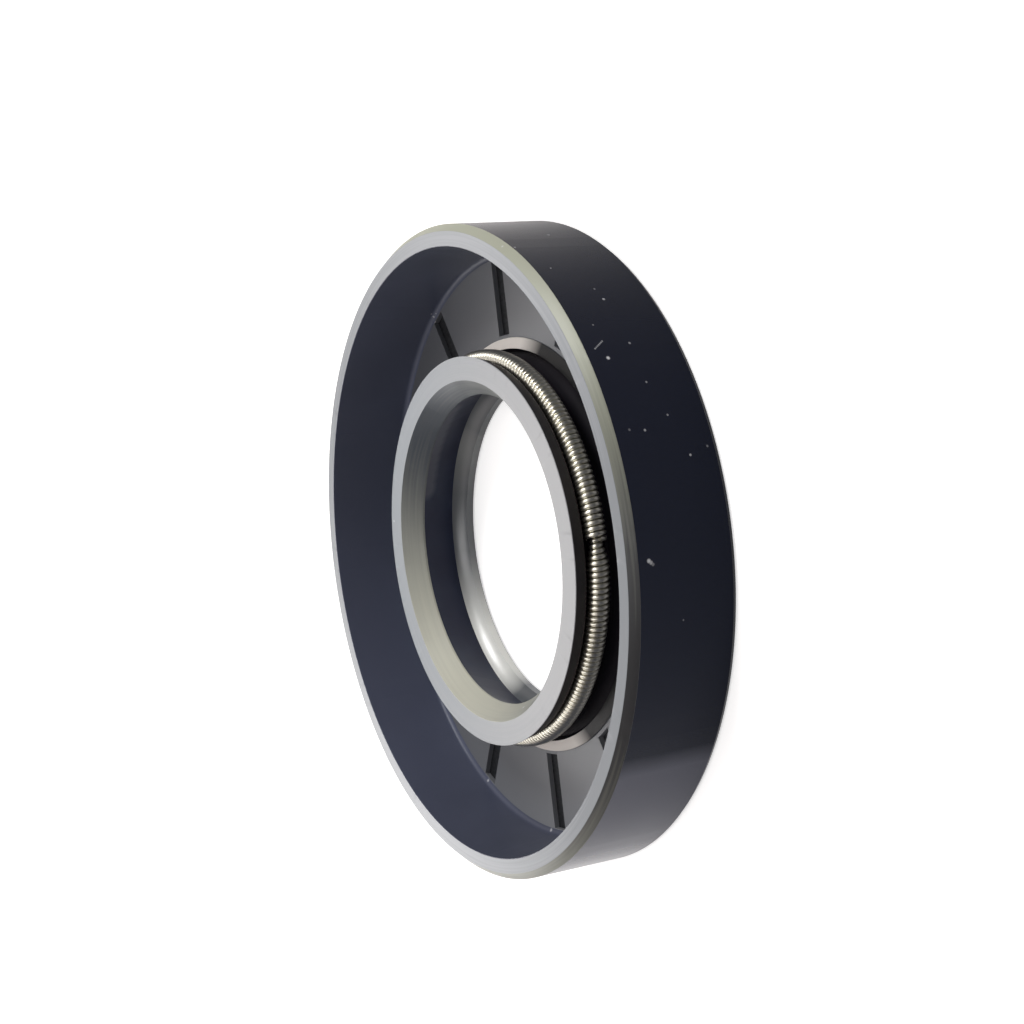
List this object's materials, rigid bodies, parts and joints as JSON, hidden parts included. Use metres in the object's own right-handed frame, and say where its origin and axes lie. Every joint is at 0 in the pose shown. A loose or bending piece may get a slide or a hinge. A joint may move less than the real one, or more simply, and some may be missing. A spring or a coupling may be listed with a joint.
{
  "type": "radial shaft seal",
  "caption": "Rubber-covered radial shaft seal: a spring-loaded sealing lip and a dust lip on a bonded steel case, pressed into a housing bore round a turning shaft.",
  "frame": {"origin": "centre of the air-side face, on the shaft's axis", "axes": "+Z along the shaft's axis, from the air side to the oil side; +X through the middle of one floor slot"},
  "size_m": [0.06, 0.06, 0.01],
  "materials": {
    "nitrile_rubber": "moulded black nitrile rubber, glossy cover and trimmed matt grey faces",
    "phosphated_steel": "pressed sheet, phosphated dark grey",
    "spring_steel": "drawn wire, close-coiled"
  },
  "bodies": {
    "root": {"rubber_body": "nitrile_rubber", "steel_case": "phosphated_steel", "garter_spring": "spring_steel"}
  },
  "joints": []
}
